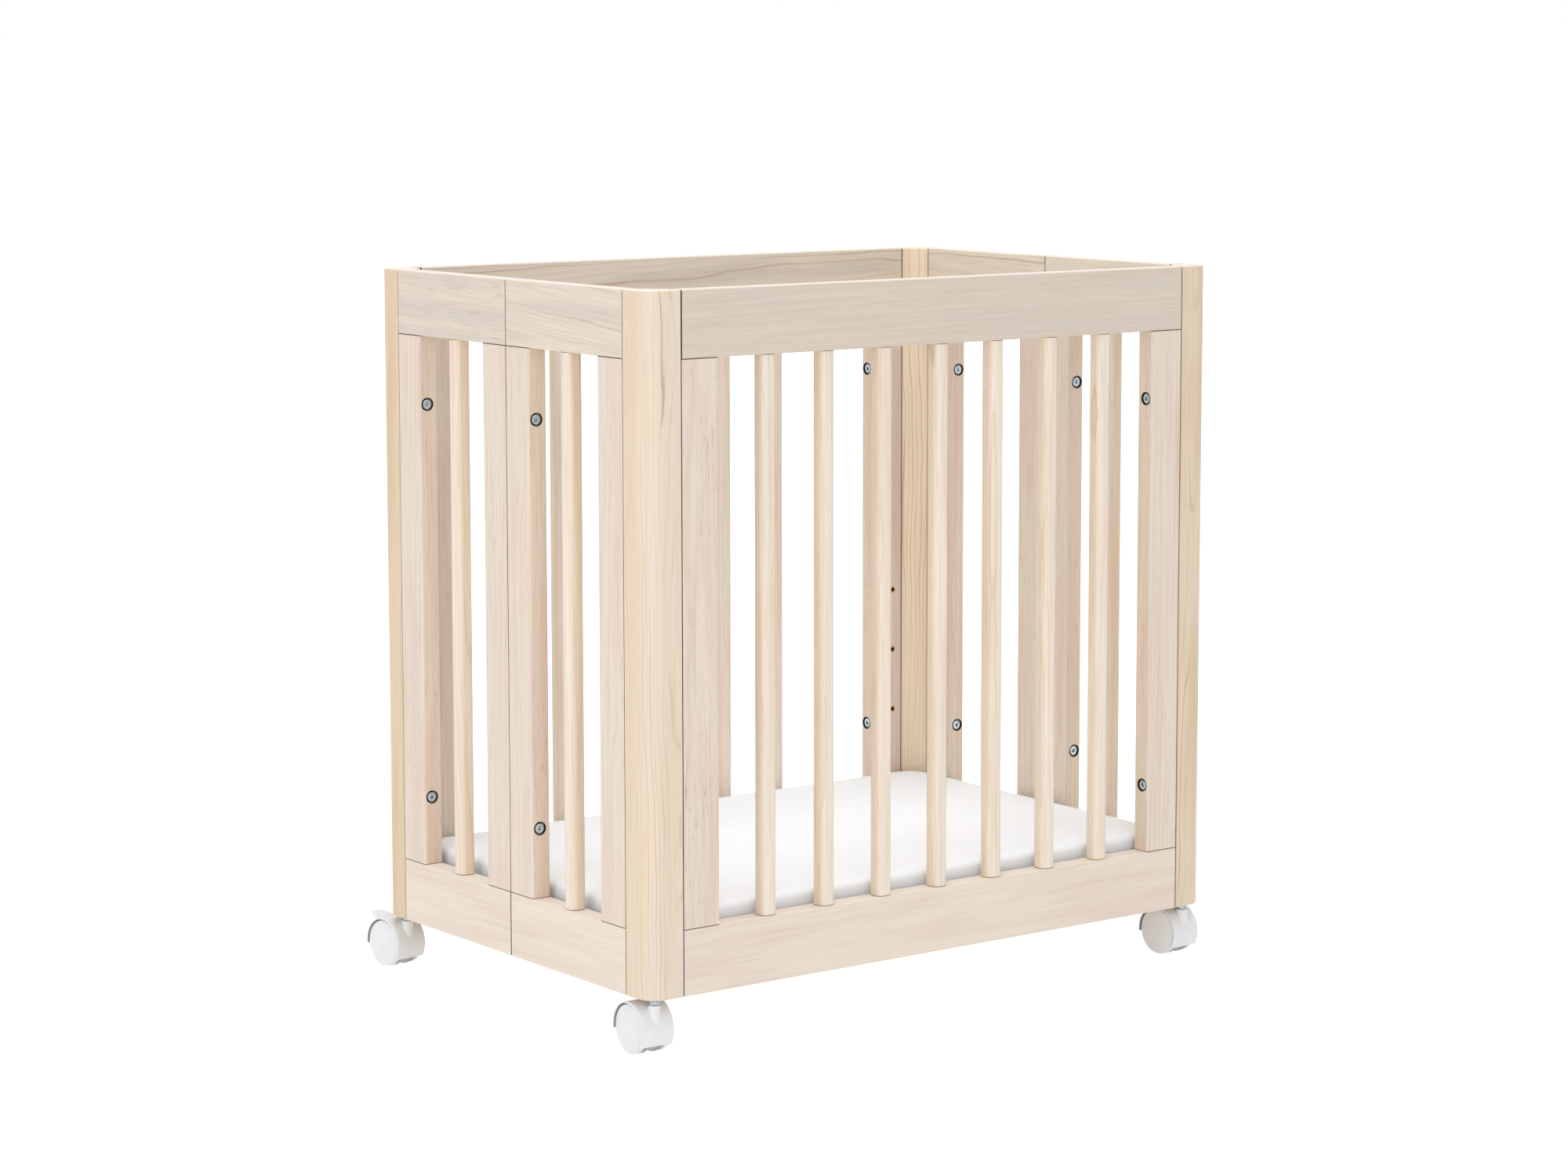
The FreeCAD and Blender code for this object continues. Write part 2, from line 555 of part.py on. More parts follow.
def brake_lever():
    """Foot lever: barrel with stub pins, arm through the web and a tab that is also the shoe."""
    y, z, half = PIVOT_BACK, PIVOT_RISE, LEVER_T / 2
    top, tip = z + TAB_RISE, y + TAB_TO
    high = top + TAB_LIFT
    under = high - TAB_TIP - (TAB_TO - SHOE_END) * math.tan(math.radians(TAB_SLOPE))
    arm = side_prism([(y, z - BARREL_R), (y + ARM_BACK, z - ARM_TOE), (y + ARM_BACK, top - TAB_TIP),
                      (y + TAB_FROM, top - TAB_TIP), (y + TAB_FROM, z), (y, z)], half)
    tab = side_prism([(y + TAB_FROM, top), (tip, high), (tip, high - TAB_TIP), (y + SHOE_END, under),
                      (y + TAB_FROM, under)], TAB_W / 2)
    tab = tab.makeFillet(TAB_ROUND, [e for e in upright_edges(tab) if e.Vertexes[0].Point.y > tip - OVER])
    turn, touch = math.radians(BRAKE_TURN), math.radians(SHOE_TOUCH)
    tread_y = y - y * math.cos(turn) + z * math.sin(turn)
    tread_z = z - z * math.cos(turn) - y * math.sin(turn)
    reach, long = WHEEL_R + SHOE_GAP, TAB_TO
    tab = tab.cut(side_prism([(tread_y + r * math.cos(touch) + along * math.sin(touch),
                               tread_z + r * math.sin(touch) - along * math.cos(touch))
                              for r, along in ((reach, -long), (reach, long), (0, long), (0, -long))], TAB_W))
    body = axle_rod(BARREL_R, -half, half, y, z).fuse(arm).fuse(tab)
    return body.fuse(axle_rod(PIVOT_PIN_D / 2, -half - PIVOT_PIN_LEN, half + PIVOT_PIN_LEN, y, z))


# ------------------------------------------------------------------ assembly
def panel_places():
    """Name, length, slats, bolts at left and right end, and the panel's place."""
    hx, hy, post_end = FRAME_LENGTH / 2, FRAME_WIDTH / 2, POST_LEG + SEAM
    far = post_end + HALF_PANEL + SEAM
    return [
        ("front", LONG_PANEL, LONG_SLAT_COUNT, "head", "head", turned(vec(-hx + post_end, -hy, BASE_Z), 0)),
        ("back", LONG_PANEL, LONG_SLAT_COUNT, "head", "head", turned(vec(hx - post_end, hy, BASE_Z), 180)),
        ("left_back", HALF_PANEL, HALF_SLAT_COUNT, "head", "nut",
         turned(vec(-hx, hy - post_end, BASE_Z), 270)),
        ("left_front", HALF_PANEL, HALF_SLAT_COUNT, "head", "head",
         turned(vec(-hx, hy - far, BASE_Z), 270)),
        ("right_front", HALF_PANEL, HALF_SLAT_COUNT, "head", "head",
         turned(vec(hx, -hy + post_end, BASE_Z), 90)),
        ("right_back", HALF_PANEL, HALF_SLAT_COUNT, "nut", "head",
         turned(vec(hx, -hy + far, BASE_Z), 90)),
    ]


def stile_name(panel, side):
    """Long panels name stiles as seen from the front, half panels as outer and inner."""
    if panel == "front":
        return "front_" + side + "_stile"
    if panel == "back":
        return "back_" + {"left": "right", "right": "left"}[side] + "_stile"
    outer = {"left_back": "left", "left_front": "right", "right_front": "left", "right_back": "right"}[panel]
    return panel + ("_outer_stile" if side == outer else "_inner_stile")


def add(nodes, name, shapes):
    nodes.setdefault(name, []).extend(shapes)


def add_panels(nodes):
    for name, length, count, left_bolt, right_bolt, place in panel_places():
        long_panel = name in ("front", "back")
        wood = panel_wood(length, count, left_bolt, right_bolt, long_panel)
        for key in ("top_rail", "bottom_rail"):
            add(nodes, name + "_" + key, [moved(wood[key], place)])
        for side in ("left", "right"):
            add(nodes, stile_name(name, side), [moved(wood[side + "_stile"], place)])
        group = name + "_slats" if long_panel else name.split("_")[0] + "_end_slats"
        add(nodes, group, [moved(s, place) for s in wood["slats"]])
        bolts, nuts = panel_metal(length, left_bolt, right_bolt)
        add(nodes, "panel_bolts", [moved(s, place) for s in bolts])
        add(nodes, "panel_bolt_inserts", [moved(s, place) for s in nuts])
        if long_panel:
            add_base_metal(nodes, place)


def add_base_metal(nodes, place):
    for x in insert_columns():
        add(nodes, "base_inserts", [moved(base_insert(x, z), place)
                                    for z in [RAIL_INSERT_Z] + insert_heights()])
        add(nodes, "base_brackets", [moved(bracket(x), place)])
        add(nodes, "base_screws", [moved(s, place) for s in bracket_screws(x)])


def add_corner(nodes, corner):
    sx, sy, angle = CORNERS[corner]
    place = turned(vec(sx * FRAME_LENGTH / 2, sy * FRAME_WIDTH / 2, BASE_Z), angle)
    add(nodes, "post_" + corner, [moved(post(), place)])
    swivel = vec(sx * (FRAME_LENGTH / 2 - STEM_INSET), sy * (FRAME_WIDTH / 2 - STEM_INSET), 0)
    add(nodes, "caster_stems", [moved(stem(), turned(swivel, 0))])
    add(nodes, "caster_sockets", [moved(socket(), turned(swivel, 0))])
    caster = turned(swivel, TURNS[corner]).multiply(turned(vec(0, TRAIL, WHEEL_R), 0))
    braked = sy > 0
    add(nodes, "caster_hood_" + corner, [moved(hood(braked), caster)])
    add(nodes, "caster_axle_" + corner, [moved(axle(), caster)])
    for side, label in ((-1, "lh"), (1, "rh")):
        add(nodes, "caster_wheel_" + corner + "_" + label, [moved(wheel(side), caster)])
    if braked:
        add(nodes, "brake_lever_" + corner, [moved(brake_lever(), caster)])


def build():
    nodes = {}
    for corner in CORNERS:
        add_corner(nodes, corner)
    add_panels(nodes)
    add(nodes, "mattress_board", [mattress_board()])
    add(nodes, "mattress", [mattress()])
    return nodes


def plan_centre(nodes):
    """Centre of the whole part's plan box; the origin goes there."""
    box = FreeCAD.BoundBox()
    for shapes in nodes.values():
        for shape in shapes:
            box.add(shape.optimalBoundingBox(False))
    return vec(box.Center.x, box.Center.y, 0)


def export(nodes):
    os.makedirs("parts", exist_ok=True)
    centre = plan_centre(nodes)
    for name, shapes in nodes.items():
        for shape in shapes:
            shape.translate(centre * -1)
        whole = shapes[0] if len(shapes) == 1 else Part.Compound(shapes)
        whole.exportStep("parts/" + name + ".step")
    print("origin", round(centre.x, 4), round(centre.y, 4))


export(build())
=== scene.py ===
import math
import bpy
import numpy as np
from mathutils import Euler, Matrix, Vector


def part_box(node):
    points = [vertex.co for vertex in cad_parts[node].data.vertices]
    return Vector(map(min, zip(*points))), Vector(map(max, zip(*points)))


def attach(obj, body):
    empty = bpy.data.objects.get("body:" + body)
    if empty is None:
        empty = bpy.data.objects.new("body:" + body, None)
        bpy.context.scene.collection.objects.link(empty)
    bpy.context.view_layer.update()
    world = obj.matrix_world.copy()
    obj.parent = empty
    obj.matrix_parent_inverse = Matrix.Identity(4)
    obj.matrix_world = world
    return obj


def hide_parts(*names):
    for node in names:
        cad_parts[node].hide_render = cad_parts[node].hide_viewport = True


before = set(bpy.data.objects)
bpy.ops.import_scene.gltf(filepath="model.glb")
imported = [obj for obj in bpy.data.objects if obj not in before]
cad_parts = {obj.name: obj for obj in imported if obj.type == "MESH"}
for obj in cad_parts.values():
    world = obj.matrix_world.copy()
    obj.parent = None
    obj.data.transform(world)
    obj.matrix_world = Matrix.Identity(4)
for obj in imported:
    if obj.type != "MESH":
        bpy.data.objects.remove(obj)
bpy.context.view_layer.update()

scene = bpy.context.scene


# ---------------------------------------------------------------- camera and studio
# The playpen stands alone on a pale seamless floor under broad soft lamps. The camera looks from
# the front left, a little above the top rails, with a long lens.
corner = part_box("post_front_left")[0]
camera = bpy.data.objects.new("camera", bpy.data.cameras.new("camera"))
scene.collection.objects.link(camera)
camera.location = (corner[0] - 2.7468, corner[1] - 3.9703, corner[2] + 1.2194)
camera.rotation_euler = (math.radians(90 - 6.869), 0, math.radians(-37.319))
camera.data.lens = 88.277
camera.data.sensor_width = 36
camera.data.shift_x, camera.data.shift_y = -0.025, -0.05
camera.data.clip_end = 60
scene.camera = camera
scene.view_settings.view_transform = "Standard"


def linear(red, green, blue):
    """Colour written as 0-255 display values, as linear RGBA: ((c + 0.055) / 1.055) ^ 2.4 above 0.04."""
    c = np.array([red, green, blue]) / 255
    c = np.where(c <= 0.04045, c / 12.92, ((c + 0.055) / 1.055) ** 2.4)
    return (*[float(v) for v in c], 1.0)


def node_at(tree, kind, **values):
    """A shader node with its properties set; other keys are input sockets, with _ for a space."""
    node = tree.nodes.new(kind)
    for key, value in values.items():
        if hasattr(node, key):
            setattr(node, key, value)
        else:
            node.inputs[key.replace("_", " ")].default_value = value
    return node


def math_node(tree, operation, a, b=None):
    """A Math node on two sockets or numbers; returns its output socket."""
    node = node_at(tree, "ShaderNodeMath", operation=operation)
    for socket, value in zip(node.inputs, (a, b)):
        if hasattr(value, "is_output"):
            tree.links.new(value, socket)
        elif value is not None:
            socket.default_value = value
    return node.outputs[0]


def soft_lamp(name, place, size, watts):
    """A square soft box at place, facing the middle of the playpen."""
    lamp = bpy.data.objects.new(name, bpy.data.lights.new(name, "AREA"))
    scene.collection.objects.link(lamp)
    lamp.data.shape, lamp.data.size, lamp.data.energy = "SQUARE", size, watts
    lamp.location = place
    aim = np.array(place) - np.array([0, 0, 0.5])
    lamp.rotation_euler = (math.acos(aim[2] / np.linalg.norm(aim)), 0, math.atan2(aim[0], -aim[1]))


soft_lamp("front lamp", place=(-2.2, -4.8, 1.7), size=3.2, watts=52)
soft_lamp("left lamp", place=(-5.2, 0.0, 1.7), size=3.2, watts=44)
soft_lamp("top lamp", place=(0.0, 0.0, 7.0), size=4.0, watts=248)


def seen_directly(tree):
    """1 for rays from the camera, and for what mirrors and glass show; 0 for light that falls on things."""
    path = tree.nodes.new("ShaderNodeLightPath")
    either = path.outputs["Is Camera Ray"]
    for kind in ("Is Glossy Ray", "Is Transmission Ray"):
        either = math_node(tree, "MAXIMUM", either, path.outputs[kind])
    return either


sky = bpy.data.worlds.new("studio")
scene.world = sky
sky.use_nodes = True
tree = sky.node_tree
tree.nodes.clear()
light = node_at(tree, "ShaderNodeBackground", Color=(1, 1, 1, 1), Strength=0.63)
white = node_at(tree, "ShaderNodeBackground", Color=(1, 1, 1, 1), Strength=1.0)
mix = node_at(tree, "ShaderNodeMixShader")
out = node_at(tree, "ShaderNodeOutputWorld")
tree.links.new(seen_directly(tree), mix.inputs[0])
tree.links.new(light.outputs[0], mix.inputs[1])
tree.links.new(white.outputs[0], mix.inputs[2])
tree.links.new(mix.outputs[0], out.inputs[0])

floor_mesh = bpy.data.meshes.new("floor")
floor_mesh.from_pydata([(-30, -30, 0), (30, -30, 0), (30, 30, 0), (-30, 30, 0)], [], [(0, 1, 2, 3)])
floor = bpy.data.objects.new("floor", floor_mesh)
scene.collection.objects.link(floor)
paper = bpy.data.materials.new("floor paper")
paper.use_nodes = True
tree = paper.node_tree
tree.nodes.clear()
matt = node_at(tree, "ShaderNodeBsdfDiffuse", Color=(0.5, 0.5, 0.5, 1))
level = node_at(tree, "ShaderNodeMapRange", To_Min=0.45, To_Max=0.86)
glow = node_at(tree, "ShaderNodeEmission", Color=(1, 1, 1, 1))
both = node_at(tree, "ShaderNodeAddShader")
out = node_at(tree, "ShaderNodeOutputMaterial")
tree.links.new(seen_directly(tree), level.inputs["Value"])
tree.links.new(level.outputs[0], glow.inputs["Strength"])
tree.links.new(matt.outputs[0], both.inputs[0])
tree.links.new(glow.outputs[0], both.inputs[1])
tree.links.new(both.outputs[0], out.inputs[0])
floor.data.materials.append(paper)


# ---------------------------------------------------------------- washed pine
# Posts, rails, stiles and slats are solid pine under a thin white wash and matt lacquer. Growth
# rings run along every stick about a pith of its own, so wide faces show long arches and narrow
# faces close lines; resin flecks and fine fibre lie along the grain.
def shader_group(name, inputs, outputs):
    """A shader node group; inputs are (name, kind, default) and outputs (name, kind)."""
    group = bpy.data.node_groups.new(name, "ShaderNodeTree")
    for label, kind, default in inputs:
        socket = group.interface.new_socket(label, in_out="INPUT", socket_type="NodeSocket" + kind)
        if default is not None:
            socket.default_value = default
    for label, kind in outputs:
        group.interface.new_socket(label, in_out="OUTPUT", socket_type="NodeSocket" + kind)
    return group, group.nodes.new("NodeGroupInput"), group.nodes.new("NodeGroupOutput")


def object_place(tree):
    """Where a point lies in the object's own coordinates."""
    return node_at(tree, "ShaderNodeTexCoord").outputs["Object"]


def axes_of(tree, vector):
    """The x, y and z of a vector, as three outputs."""
    node = node_at(tree, "ShaderNodeSeparateXYZ")
    tree.links.new(vector, node.inputs[0])
    return node.outputs


def smooth_between(tree, value, low, high):
    """0 below low, 1 above high, eased between."""
    node = node_at(tree, "ShaderNodeMapRange", interpolation_type="SMOOTHSTEP", From_Min=low, From_Max=high)
    tree.links.new(value, node.inputs["Value"])
    return node.outputs["Result"]


def streaks(tree, vector, stretch, detail=2.0):
    """Noise on the vector times stretch: long streaks where the stretch along the grain is small."""
    scaled = node_at(tree, "ShaderNodeVectorMath", operation="MULTIPLY")
    tree.links.new(vector, scaled.inputs[0])
    if hasattr(stretch, "is_output"):
        tree.links.new(stretch, scaled.inputs[1])
    else:
        scaled.inputs[1].default_value = stretch
    noise = node_at(tree, "ShaderNodeTexNoise", Scale=1.0, Detail=detail, Roughness=0.55)
    tree.links.new(scaled.outputs[0], noise.inputs["Vector"])
    return noise.outputs["Fac"]


def blend_colour(tree, mask, below, above, blend="MIX"):
    """The colour below where the mask is 0, and above, or both multiplied, where it is 1."""
    node = node_at(tree, "ShaderNodeMix", data_type="RGBA", blend_type=blend)
    factor, first, second = node.inputs[0], node.inputs[6], node.inputs[7]     # its sockets for colours
    for socket, value in ((factor, mask), (first, below), (second, above)):
        if hasattr(value, "is_output"):
            tree.links.new(value, socket)
        else:
            socket.default_value = value
    return node.outputs[2]


def show_skin(tree, colour, skin, strength, distance):
    """Links a colour, and the roughness and height of a node group, to the shader; height is bump."""
    surface = tree.nodes["Principled BSDF"]
    bump = node_at(tree, "ShaderNodeBump", Strength=strength, Distance=distance)
    tree.links.new(colour, surface.inputs["Base Color"])
    tree.links.new(skin.outputs["Roughness"], surface.inputs["Roughness"])
    tree.links.new(skin.outputs["Height"], bump.inputs["Height"])
    tree.links.new(bump.outputs[0], surface.inputs["Normal"])


grain, gin, gout = shader_group(
    "pine grain",
    [("Vector", "Vector", None), ("Early Wood", "Color", (0.8, 0.7, 0.6, 1)),
     ("Late Wood", "Color", (0.6, 0.5, 0.4, 1)), ("Blush", "Color", (0.8, 0.6, 0.5, 1)),
     ("Ring Width", "Float", 0.006), ("Ring Depth", "Float", 0.5), ("Flecks", "Float", 0.5),
     ("Fleck Rate", "Float", 40.0), ("Fibre", "Float", 0.3)],
    [("Color", "Color"), ("Roughness", "Float"), ("Height", "Float")])

# Rings: the distance from the pith, bent by a slow drift and a quick wobble, in ring widths.
stick = gin.outputs["Vector"]
drift = streaks(grain, stick, (1.7, 8, 8), 3)
wobble = streaks(grain, stick, (16, 90, 90), 2)
_, side, up = axes_of(grain, stick)
square = math_node(grain, "ADD", math_node(grain, "MULTIPLY", side, side),
                   math_node(grain, "MULTIPLY", up, up))
radius = math_node(grain, "ADD", math_node(grain, "SQRT", square), math_node(grain, "MULTIPLY", drift, 0.05))
radius = math_node(grain, "ADD", radius, math_node(grain, "MULTIPLY", wobble, 0.0016))
rings = math_node(grain, "DIVIDE", radius, gin.outputs["Ring Width"])

# Late wood: a dark line that grows slowly and ends sharply in each ring, stronger in some years.
season = math_node(grain, "FRACT", rings)
year = node_at(grain, "ShaderNodeTexWhiteNoise", noise_dimensions="1D")
grain.links.new(math_node(grain, "FLOOR", rings), year.inputs["W"])
late = math_node(grain, "MULTIPLY", smooth_between(grain, season, 0.68, 0.93),
                 math_node(grain, "SUBTRACT", 1.0, smooth_between(grain, season, 0.93, 1.0)))
patchy = smooth_between(grain, streaks(grain, stick, (1.4, 42, 42)), 0.40, 0.62)
for part, least in ((patchy, 0.1), (year.outputs["Value"], 0.2)):
    late = math_node(grain, "MULTIPLY", late,
                     math_node(grain, "ADD", least, math_node(grain, "MULTIPLY", part, 1 - least)))
late = math_node(grain, "MULTIPLY", late, gin.outputs["Ring Depth"])

# Fibre is fine and everywhere, resin flecks are short and lie in zones, and blush comes in clouds.
fibre = streaks(grain, stick, (7, 420, 420), 4)
rate = node_at(grain, "ShaderNodeCombineXYZ", Y=900, Z=900)
grain.links.new(gin.outputs["Fleck Rate"], rate.inputs["X"])
fleck = smooth_between(grain, streaks(grain, stick, rate.outputs[0], 1), 0.62, 0.76)
zone = smooth_between(grain, streaks(grain, stick, (4, 40, 40), 1), 0.35, 0.6)
fleck = math_node(grain, "MULTIPLY", math_node(grain, "MULTIPLY", fleck, zone), gin.outputs["Flecks"])
blush = smooth_between(grain, streaks(grain, stick, (3, 34, 34), 3), 0.40, 0.66)

colour = blend_colour(grain, blush, gin.outputs["Early Wood"], gin.outputs["Blush"])
colour = blend_colour(grain, late, colour, gin.outputs["Late Wood"])
threads = math_node(grain, "MULTIPLY", smooth_between(grain, fibre, 0.40, 0.75), gin.outputs["Fibre"])
colour = blend_colour(grain, threads, colour, gin.outputs["Late Wood"])
colour = blend_colour(grain, fleck, colour, (0.55, 0.45, 0.38, 1), "MULTIPLY")
rough = math_node(grain, "ADD", 0.36, math_node(grain, "MULTIPLY", fibre, 0.16))
rise = math_node(grain, "SUBTRACT", math_node(grain, "MULTIPLY", fibre, 0.6), fleck)
rise = math_node(grain, "ADD", rise, math_node(grain, "MULTIPLY", late, 0.5))
for value, label in ((colour, "Color"), (rough, "Roughness"), (rise, "Height")):
    grain.links.new(value, gout.inputs[label])

# Faces of a stick in a panel: the side looks along the panel; the top looks up and is where pine
# paints a highlight; and the bore, the wall of a bolt hole, lies inside the thickness, doesn't look
# along the panel and is where pine paints shade.
cut, cin, cout = shader_group(
    "faces",
    [("Along", "Float", 0.0), ("Up", "Float", 0.0), ("Across", "Float", 0.0), ("Middle", "Float", 0.0),
     ("Half", "Float", 0.01)],
    [("Side", "Float"), ("Top Highlight", "Float"), ("Bore Shade", "Float")])
along = math_node(cut, "ABSOLUTE", cin.outputs["Along"])
offset = math_node(cut, "ABSOLUTE", math_node(cut, "SUBTRACT", cin.outputs["Across"], cin.outputs["Middle"]))
depth = math_node(cut, "SUBTRACT", cin.outputs["Half"], offset)
inside = smooth_between(cut, depth, 0.0005, 0.0009)
away = math_node(cut, "SUBTRACT", 1.0, smooth_between(cut, along, 0.3, 0.5))
top = smooth_between(cut, cin.outputs["Up"], 0.55, 0.95)
cut.links.new(smooth_between(cut, along, 0.65, 1.0), cout.inputs["Side"])
cut.links.new(math_node(cut, "MULTIPLY", top, 0.6), cout.inputs["Top Highlight"])
cut.links.new(math_node(cut, "MULTIPLY", inside, away), cout.inputs["Bore Shade"])

# A joint line: painted shade, dark within a width of the place where two pieces meet, for the
# shadow in the gap between them.
joint, jin, jout = shader_group(
    "joint line", [("Place", "Float", 0.0), ("Joint", "Float", 0.0), ("Width", "Float", 0.001)],
    [("Mask", "Float")])
near = math_node(joint, "SUBTRACT", jin.outputs["Place"], jin.outputs["Joint"])
near = math_node(joint, "DIVIDE", math_node(joint, "ABSOLUTE", near), jin.outputs["Width"])
joint.links.new(math_node(joint, "SUBTRACT", 1.0, smooth_between(joint, near, 0.45, 1.0)),
                jout.inputs["Mask"])

# The turn that lays a stick's grain along the group's x.
LAY = {"x": (0, 0, 0), "y": (0, 0, -math.pi / 2), "z": (0, math.pi / 2, 0)}


def pine(piece, way, run, tones, pith, ring, depth, flecks, fibre, tilt=0.0, lines=(), painted_rim=False,
         shade_bores=False):
    """Pine for one stick with its grain along way, and rings about a pith this far from its middle.

    run is the axis that its panel runs along, 0 or 1. Each line is an axis, a place on it and a width
    of painted shade across a joint.
    """
    material = bpy.data.materials.new("pine " + piece.name)
    material.use_nodes = True
    tree = material.node_tree
    low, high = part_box(piece.name)
    turn = Euler(LAY[way])
    turn[0 if run else 1] += tilt
    middle = turn.to_matrix() @ Vector([(a + b) / 2 for a, b in zip(low, high)])
    stick = node_at(tree, "ShaderNodeMapping", Rotation=turn,
                    Location=Vector((pith[2], pith[0], pith[1])) - middle)
    early, late, blush = [linear(*tone) for tone in tones]
    wood = node_at(tree, "ShaderNodeGroup", node_tree=grain, Early_Wood=early, Late_Wood=late, Blush=blush,
                   Ring_Width=ring, Ring_Depth=depth, Flecks=flecks, Fleck_Rate=40 if way == "z" else 18,
                   Fibre=fibre)
    here = object_place(tree)
    tree.links.new(here, stick.inputs["Vector"])
    tree.links.new(stick.outputs[0], wood.inputs["Vector"])
    where = axes_of(tree, here)
    facing = axes_of(tree, node_at(tree, "ShaderNodeNewGeometry").outputs["Normal"])
    thick = 1 - run
    face = node_at(tree, "ShaderNodeGroup", node_tree=cut, Middle=(low[thick] + high[thick]) / 2,
                   Half=(high[thick] - low[thick]) / 2)
    tree.links.new(facing[run], face.inputs["Along"])
    tree.links.new(facing[2], face.inputs["Up"])
    tree.links.new(where[thick], face.inputs["Across"])
    colour = wood.outputs["Color"]
    # Faces that look along the panel are tinted darker and warmer: on the rails these are their ends, whose
    # end grain is darker; on the upright pieces this is partly their warmer quarter grain and partly painted
    # shade and warm bounce light.
    colour = blend_colour(tree, face.outputs["Side"], colour, (1.0, 0.96, 0.90, 1), "MULTIPLY")
    # Painted highlight: the tops are paler, for the strong light that falls on them from above.
    if painted_rim:
        colour = blend_colour(tree, face.outputs["Top Highlight"], colour, linear(224, 218, 208))
    # Painted shade: the walls of the bolt holes are dark brown, for the shade deep inside them.
    if shade_bores:
        colour = blend_colour(tree, face.outputs["Bore Shade"], colour, linear(60, 50, 40))
    # Painted shade: a dark line at each joint, for the shadow in the gap between the pieces.
    for axis, at, width in lines:
        line = node_at(tree, "ShaderNodeGroup", node_tree=joint, Joint=at, Width=width)
        tree.links.new(where[axis], line.inputs["Place"])
        colour = blend_colour(tree, line.outputs["Mask"], colour, linear(68, 50, 30))
    show_skin(tree, colour, wood, 0.25, 0.0004)
    piece.data.materials.clear()
    piece.data.materials.append(material)


TAN, BROWN = (190, 160, 126), (184, 152, 120)
POST_TONES = {"post_front_left": ((228, 213, 196), TAN, (228, 210, 188)),
              "post_back_right": ((243, 225, 201), (190, 154, 116), (238, 216, 186))}
PLAIN_POST = ((224, 206, 182), (184, 150, 114), (216, 193, 164))
TOP_TONE = {"front_top_rail": (216, 203, 187), "right_front_top_rail": (233, 221, 204),
            "right_back_top_rail": (233, 221, 204)}
# Top rails with a figure that shows: pith aside and above, ring, depth, flecks and tilt.
FIGURED = {"left_front_top_rail": (0.01, -0.15, 0.0068, 0.9, 0.15, -0.05),
           "left_back_top_rail": (0.07, 0.02, 0.009, 0.25, 0.8, -0.04),
           "back_top_rail": (0.035, 0.0, 0.008, 0.9, 0.3, 0.04),
           "right_back_top_rail": (0.04, 0.03, 0.008, 0.7, 0.4, -0.06)}

MEETS = 0.002                                               # a piece that ends this near a joint meets it
# Widths of the painted shade in the joints:
POST_SEAM, FRONT_SEAM, TIGHT_SEAM = 0.0022, 0.0012, 0.0004  # where panels end at the posts
HALF_SEAM, LOW_HALF_SEAM = 0.0005, 0.0009                   # between the halves of an end panel
JOINT_SHADE = 0.0010
post_low, post_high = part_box("post_front_left")[1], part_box("post_back_right")[0]
half_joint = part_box("left_front_top_rail")[1][1]
rail_top, rail_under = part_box("front_bottom_rail")[1][2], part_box("front_top_rail")[0][2]
shaded_joints = [(2, rail_top, JOINT_SHADE), (2, rail_under, JOINT_SHADE)]
picker = np.random.default_rng(7)
for name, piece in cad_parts.items():
    far = picker.uniform(-1, 1, 3)
    run = 0 if name.startswith(("front", "back")) else 1
    level = "y" if run else "x"
    low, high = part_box(name)
    seams = []
    for end in (low[run], high[run]):
        if min(abs(end - post_low[run]), abs(end - post_high[run])) < MEETS:
            width = POST_SEAM
            if end == low[run] and name.startswith(("front", "left_front")):
                width = FRONT_SEAM if name == "front_top_rail" else TIGHT_SEAM
            seams.append((run, end, width))
        elif run == 1 and abs(end - half_joint) < MEETS:
            seams.append((run, end, LOW_HALF_SEAM if name.endswith("bottom_rail") else HALF_SEAM))
    if name.startswith("post_"):
        pine(piece, "z", 0, POST_TONES.get(name, PLAIN_POST),
             pith=(0.07 + 0.015 * far[0], 0.03 * far[1], far[2]),
             ring=0.0050, depth=0.9, flecks=0.1, fibre=0.2, painted_rim=True)
    elif name.endswith("top_rail"):
        plain = (0.06 + 0.03 * far[0], 0.05 * far[1], 0.0085, 0.1, 0.15, 0.02)
        aside, above, ring, depth, flecks, tilt = FIGURED.get(name, plain)
        early, late = TOP_TONE.get(name, (224, 212, 197)), TAN if name == "front_top_rail" else BROWN
        pine(piece, level, run, (early, late, (211, 200, 188)), pith=(aside, above, far[2]),
             ring=ring, depth=depth, flecks=flecks, fibre=0.25, tilt=tilt, lines=seams, painted_rim=True)
    elif name.endswith("bottom_rail"):
        pine(piece, level, run, ((230, 219, 204), TAN, (226, 209, 197)),
             pith=(0.07 + 0.03 * far[0], 0.05 * far[1], far[2]),
             ring=0.011, depth=0.15, flecks=0.15, fibre=0.16, tilt=0.03, lines=seams)
    elif name.endswith("stile"):
        pine(piece, "z", run, ((227, 214, 200), TAN, (224, 205, 192)),
             pith=(0.05 + 0.02 * far[0], 0.06 * far[1], far[2]),
             ring=0.008, depth=0.4, flecks=0.7, fibre=0.28, lines=[*seams, *shaded_joints], shade_bores=True)
    elif name.endswith("slats"):
        pine(piece, "z", run, ((238, 226, 211), TAN, (234, 218, 199)),
             pith=(0.09 * far[0], 0.09, far[2]),
             ring=0.008, depth=0.5, flecks=0.35, fibre=0.28, lines=shaded_joints)


# ---------------------------------------------------------------- mattress board
# Birch plywood screwed down on four brackets: pale sanded faces and thin dark and light plies
# on its edges.
def plain_material(name, colour, rough, metal=0.0):
    """A Principled material with its plain values on the shader; returns (material, tree, shader)."""
    material = bpy.data.materials.new(name)
    material.use_nodes = True
    surface = material.node_tree.nodes["Principled BSDF"]
    surface.inputs["Base Color"].default_value = colour
    surface.inputs["Roughness"].default_value = rough
    surface.inputs["Metallic"].default_value = metal
    return material, material.node_tree, surface


def dress(material, *names):
    """Gives a material to these CAD nodes."""
    for name in names:
        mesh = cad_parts[name].data
        mesh.materials.clear()
        mesh.materials.append(material)


